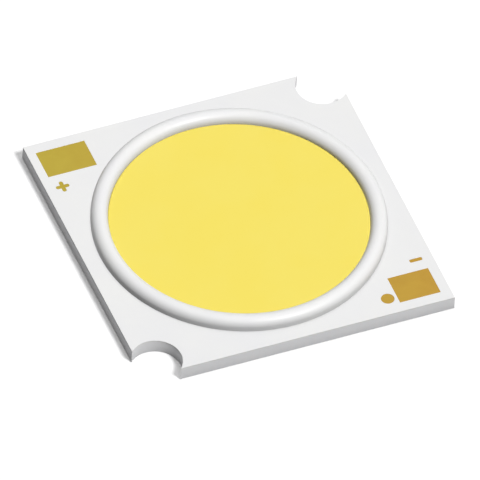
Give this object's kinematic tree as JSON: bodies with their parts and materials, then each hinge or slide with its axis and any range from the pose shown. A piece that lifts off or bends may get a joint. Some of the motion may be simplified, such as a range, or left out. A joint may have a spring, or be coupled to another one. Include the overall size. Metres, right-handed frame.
{
  "type": "chip-on-board led",
  "caption": "Flat square board with a round yellow light-emitting surface inside a raised white ring, gold pads at two corners and screw notches at the other two.",
  "frame": {"origin": "centre of the board's underside, the face that bolts to a heat sink", "axes": "+Z out of the light-emitting side; X and Y along the board's sides, with the anode pad at (-X, +Y), the cathode pad at (+X, -Y) and the notches at the other two corners"},
  "size_m": [0.028, 0.028, 0.0024],
  "materials": {
    "metal_core": "mill finish, satin, with cut edges",
    "dielectric": "filled epoxy, matt",
    "white_resist": "fine matt white print",
    "plated_copper": "gold plate over copper, satin",
    "white_silicone": "satin white silicone",
    "phosphor_silicone": "cloudy yellow silicone, finely grained",
    "sapphire_die": "clear crystal with a metal grid",
    "gold_wire": "bright gold"
  },
  "bodies": {
    "root": {"base_plate": "metal_core", "dielectric_layer": "dielectric", "solder_resist": "white_resist", "anode_circuit": "plated_copper", "cathode_circuit": "plated_copper", "plus_mark": "plated_copper", "minus_mark": "plated_copper", "case_temperature_point": "plated_copper", "dam": "white_silicone", "phosphor_fill": "phosphor_silicone", "die_string_1": "sapphire_die", "die_string_2": "sapphire_die", "die_string_3": "sapphire_die", "die_string_4": "sapphire_die", "bond_wires_1": "gold_wire", "bond_wires_2": "gold_wire", "bond_wires_3": "gold_wire", "bond_wires_4": "gold_wire"}
  },
  "joints": []
}
